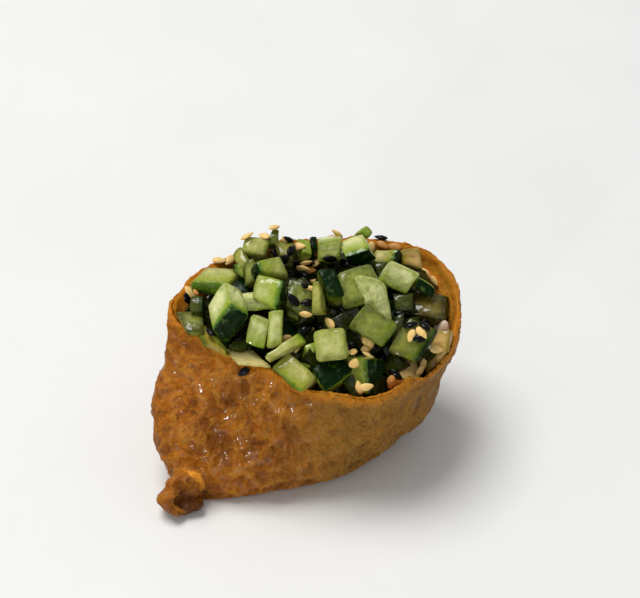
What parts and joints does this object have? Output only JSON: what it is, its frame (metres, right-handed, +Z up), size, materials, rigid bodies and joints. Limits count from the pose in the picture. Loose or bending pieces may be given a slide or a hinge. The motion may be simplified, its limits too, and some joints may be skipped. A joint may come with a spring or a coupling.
{
  "type": "inari sushi",
  "caption": "Inari sushi: an open pouch of fried tofu with one curled corner, filled with rice and heaped with diced cucumber.",
  "frame": {"origin": "on the surface the sushi stands on, under the middle of its box", "axes": "+Z up, +X towards the broad end of the mouth, -Y towards the low front edge of the mouth and the curled corner"},
  "size_m": [0.0677, 0.0516, 0.0488],
  "materials": {
    "fried_tofu": "wet, crinkled, golden brown fried tofu skin",
    "rice": "moist steamed rice grains",
    "cucumber": "wet cucumber dice with dark green skin faces",
    "cucumber_skin": "dark green cucumber skin",
    "white_sesame": "toasted white sesame seeds",
    "black_sesame": "moist black sesame seeds"
  },
  "bodies": {
    "root": {"tofu_pouch": "fried_tofu", "sushi_rice": "rice", "cucumber_heap": "cucumber"}
  },
  "joints": []
}
